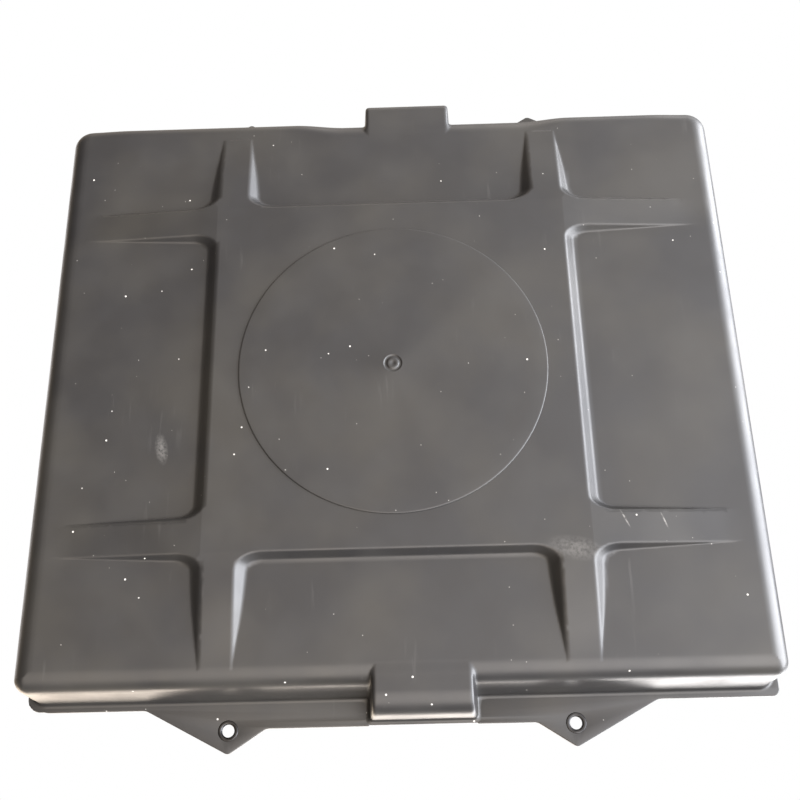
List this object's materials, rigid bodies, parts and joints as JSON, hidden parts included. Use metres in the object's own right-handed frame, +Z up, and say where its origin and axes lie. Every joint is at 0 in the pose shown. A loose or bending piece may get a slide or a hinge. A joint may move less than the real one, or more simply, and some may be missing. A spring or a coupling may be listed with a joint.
{
  "type": "livestock water trough",
  "caption": "Shallow black moulded water trough with a hash-ribbed base, two wall channels, bolt ears on the rim, a low float valve and a lift-off steel guard.",
  "frame": {"origin": "centre of the trough's bounding box at ground level, under the round pad of the base", "axes": "+X along the longer walls, +Y towards the wall with the water inlet, +Z up from the ground"},
  "size_m": [0.52, 0.514, 0.061],
  "materials": {
    "moulded_black": "injection-moulded black polypropylene, satin to glossy, with fine scuffs",
    "eyelet_steel": "blackened rolled steel eyelets",
    "valve_acetal": "natural acetal, fine moulded satin",
    "brass": "turned brass, slightly dulled",
    "seal_rubber": "moulded black sealing rubber",
    "stainless": "drawn stainless steel",
    "float_plastic": "welded blue polypropylene float",
    "galvanised_steel": "hot-dip galvanised folded sheet steel with soft spangle"
  },
  "bodies": {
    "root": {"trough_pan": "moulded_black", "ear_eyelets": "eyelet_steel", "valve_body": "valve_acetal", "inlet_filter": "stainless", "inner_washer": "seal_rubber", "outer_washer": "seal_rubber", "back_nut": "valve_acetal", "valve_seat": "brass", "seat_ring": "seal_rubber", "pivot_pin": "stainless", "pin_clip": "stainless"},
    "plunger": {"valve_plunger": "valve_acetal", "plunger_seal": "seal_rubber"},
    "arm": {"float_arm": "valve_acetal", "adjust_screw": "brass", "adjust_nut": "brass", "float_nut": "brass", "float_base": "float_plastic", "float_lid": "float_plastic"},
    "guard": {"valve_guard": "galvanised_steel"}
  },
  "joints": [
    {"name": "float_pivot", "type": "hinge", "parent": "root", "child": "arm", "pos_m": [-0.015, 0.196, 0.031], "axis": [-1, 0, 0], "range_deg": [0, 11]},
    {"name": "plunger_slide", "type": "slide", "parent": "root", "child": "plunger", "axis": [0, 1, 0], "range_m": [0, 0.00175]},
    {"name": "guard_lift", "type": "slide", "parent": "root", "child": "guard", "axis": [0, 0, 1], "range_m": [0, 0.12]}
  ],
  "couplings": [
    {"joint": "plunger_slide", "follows": "float_pivot", "m_per_rad": 0.009}
  ]
}
